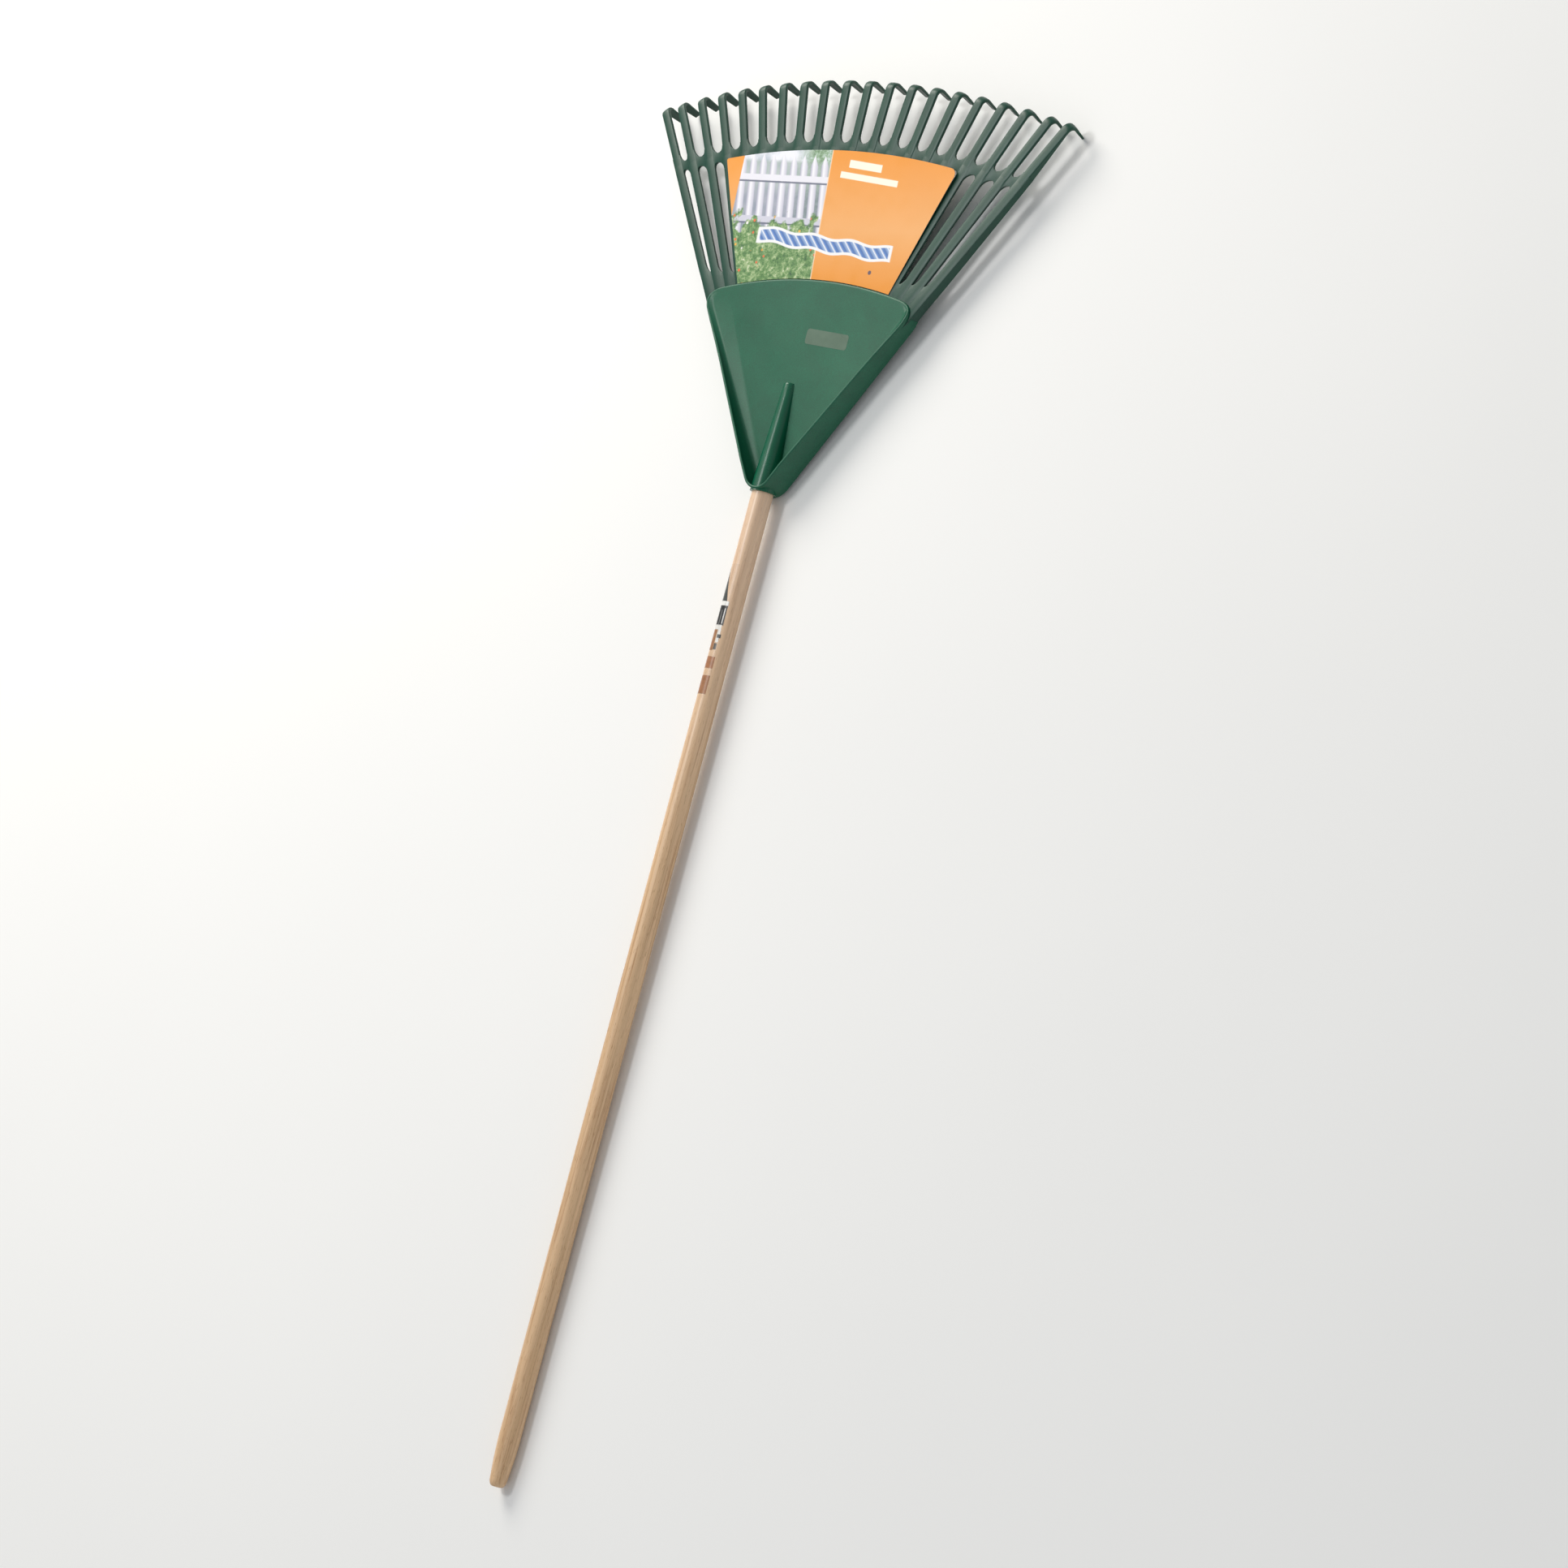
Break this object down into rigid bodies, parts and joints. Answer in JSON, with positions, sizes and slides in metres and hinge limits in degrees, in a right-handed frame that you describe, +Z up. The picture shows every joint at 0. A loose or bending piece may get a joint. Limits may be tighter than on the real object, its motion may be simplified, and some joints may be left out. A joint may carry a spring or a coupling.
{
  "type": "leaf rake",
  "caption": "Lawn leaf rake: a moulded plastic fan of sprung hooked tines with a cross brace and tray-shaped pan, on a long tapered round wooden handle, with a blank retail card.",
  "frame": {"origin": "middle of the bounding box's footprint, on the floor that the rake lies on", "axes": "+Y from the handle's butt towards the tine tips, +X across the fan, +Z up out of the card side; the rake lies tines down on the outer hooks and the handle"},
  "size_m": [0.6076, 1.5631, 0.0452],
  "materials": {
    "handle_wood": "clear lacquered straight-grained hardwood, satin",
    "head_plastic": "injection-moulded polypropylene, fine satin texture",
    "tine_plastic": "injection-moulded polypropylene, fine satin texture",
    "screw_steel": "zinc-plated steel",
    "card": "gloss-coated printed card with blank bands",
    "glue": "hot-melt glue",
    "handle_sticker": "printed paper sticker with blank bands",
    "pan_sticker": "clear film sticker, blank"
  },
  "bodies": {
    "root": {"handle": "handle_wood", "rake_head": "head_plastic", "socket_screw": "screw_steel", "retail_card": "card", "card_glue_dots": "glue", "handle_sticker": "handle_sticker", "pan_sticker": "pan_sticker"},
    "tine_01": {"tine_01": "tine_plastic"},
    "tine_02": {"tine_02": "tine_plastic"},
    "tine_03": {"tine_03": "tine_plastic"},
    "tine_04": {"tine_04": "tine_plastic"},
    "tine_05": {"tine_05": "tine_plastic"},
    "tine_06": {"tine_06": "tine_plastic"},
    "tine_07": {"tine_07": "tine_plastic"},
    "tine_08": {"tine_08": "tine_plastic"},
    "tine_09": {"tine_09": "tine_plastic"},
    "tine_10": {"tine_10": "tine_plastic"},
    "tine_11": {"tine_11": "tine_plastic"},
    "tine_12": {"tine_12": "tine_plastic"},
    "tine_13": {"tine_13": "tine_plastic"},
    "tine_14": {"tine_14": "tine_plastic"},
    "tine_15": {"tine_15": "tine_plastic"},
    "tine_16": {"tine_16": "tine_plastic"},
    "tine_17": {"tine_17": "tine_plastic"},
    "tine_18": {"tine_18": "tine_plastic"},
    "tine_19": {"tine_19": "tine_plastic"},
    "tine_20": {"tine_20": "tine_plastic"}
  },
  "joints": [
    {"name": "flex_01", "type": "hinge", "parent": "root", "child": "tine_01", "pos_m": [-0.25873, 0.68591, 0.0283], "axis": [0.8216, 0.5684, 0.0427], "range_deg": [-6, 10], "stiffness_Nm_per_rad": 1.5},
    {"name": "flex_02", "type": "hinge", "parent": "root", "child": "tine_02", "pos_m": [-0.23611, 0.69046, 0.03006], "axis": [0.8436, 0.5355, 0.0403], "range_deg": [-6, 10], "stiffness_Nm_per_rad": 1.5},
    {"name": "flex_03", "type": "hinge", "parent": "root", "child": "tine_03", "pos_m": [-0.20856, 0.6956, 0.03209], "axis": [0.8785, 0.4764, 0.0358], "range_deg": [-6, 10], "stiffness_Nm_per_rad": 1.5},
    {"name": "flex_04", "type": "hinge", "parent": "root", "child": "tine_04", "pos_m": [-0.18097, 0.70023, 0.03388], "axis": [0.909, 0.4156, 0.0313], "range_deg": [-6, 10], "stiffness_Nm_per_rad": 1.5},
    {"name": "flex_05", "type": "hinge", "parent": "root", "child": "tine_05", "pos_m": [-0.15331, 0.70426, 0.03543], "axis": [0.935, 0.3536, 0.0266], "range_deg": [-6, 10], "stiffness_Nm_per_rad": 1.5},
    {"name": "flex_06", "type": "hinge", "parent": "root", "child": "tine_06", "pos_m": [-0.12556, 0.70767, 0.03673], "axis": [0.9566, 0.2905, 0.0218], "range_deg": [-6, 10], "stiffness_Nm_per_rad": 1.5},
    {"name": "flex_07", "type": "hinge", "parent": "root", "child": "tine_07", "pos_m": [-0.09774, 0.71041, 0.03777], "axis": [0.9738, 0.2266, 0.017], "range_deg": [-6, 10], "stiffness_Nm_per_rad": 1.5},
    {"name": "flex_08", "type": "hinge", "parent": "root", "child": "tine_08", "pos_m": [-0.06986, 0.71247, 0.03855], "axis": [0.9867, 0.1622, 0.0122], "range_deg": [-6, 10], "stiffness_Nm_per_rad": 1.5},
    {"name": "flex_09", "type": "hinge", "parent": "root", "child": "tine_09", "pos_m": [-0.04194, 0.71385, 0.03908], "axis": [0.9952, 0.0975, 0.0073], "range_deg": [-6, 10], "stiffness_Nm_per_rad": 1.5},
    {"name": "flex_10", "type": "hinge", "parent": "root", "child": "tine_10", "pos_m": [-0.01398, 0.71454, 0.03934], "axis": [0.9995, 0.0325, 0.0024], "range_deg": [-6, 10], "stiffness_Nm_per_rad": 1.5},
    {"name": "flex_11", "type": "hinge", "parent": "root", "child": "tine_11", "pos_m": [0.01398, 0.71454, 0.03934], "axis": [0.9995, -0.0325, -0.0024], "range_deg": [-6, 10], "stiffness_Nm_per_rad": 1.5},
    {"name": "flex_12", "type": "hinge", "parent": "root", "child": "tine_12", "pos_m": [0.04194, 0.71385, 0.03908], "axis": [0.9952, -0.0975, -0.0073], "range_deg": [-6, 10], "stiffness_Nm_per_rad": 1.5},
    {"name": "flex_13", "type": "hinge", "parent": "root", "child": "tine_13", "pos_m": [0.06986, 0.71247, 0.03855], "axis": [0.9867, -0.1622, -0.0122], "range_deg": [-6, 10], "stiffness_Nm_per_rad": 1.5},
    {"name": "flex_14", "type": "hinge", "parent": "root", "child": "tine_14", "pos_m": [0.09774, 0.71041, 0.03777], "axis": [0.9738, -0.2266, -0.017], "range_deg": [-6, 10], "stiffness_Nm_per_rad": 1.5},
    {"name": "flex_15", "type": "hinge", "parent": "root", "child": "tine_15", "pos_m": [0.12556, 0.70767, 0.03673], "axis": [0.9566, -0.2905, -0.0218], "range_deg": [-6, 10], "stiffness_Nm_per_rad": 1.5},
    {"name": "flex_16", "type": "hinge", "parent": "root", "child": "tine_16", "pos_m": [0.15331, 0.70426, 0.03543], "axis": [0.935, -0.3536, -0.0266], "range_deg": [-6, 10], "stiffness_Nm_per_rad": 1.5},
    {"name": "flex_17", "type": "hinge", "parent": "root", "child": "tine_17", "pos_m": [0.18097, 0.70023, 0.03388], "axis": [0.909, -0.4156, -0.0313], "range_deg": [-6, 10], "stiffness_Nm_per_rad": 1.5},
    {"name": "flex_18", "type": "hinge", "parent": "root", "child": "tine_18", "pos_m": [0.20856, 0.6956, 0.03209], "axis": [0.8785, -0.4764, -0.0358], "range_deg": [-6, 10], "stiffness_Nm_per_rad": 1.5},
    {"name": "flex_19", "type": "hinge", "parent": "root", "child": "tine_19", "pos_m": [0.23611, 0.69046, 0.03006], "axis": [0.8436, -0.5355, -0.0403], "range_deg": [-6, 10], "stiffness_Nm_per_rad": 1.5},
    {"name": "flex_20", "type": "hinge", "parent": "root", "child": "tine_20", "pos_m": [0.25873, 0.68591, 0.0283], "axis": [0.8216, -0.5684, -0.0427], "range_deg": [-6, 10], "stiffness_Nm_per_rad": 1.5}
  ]
}
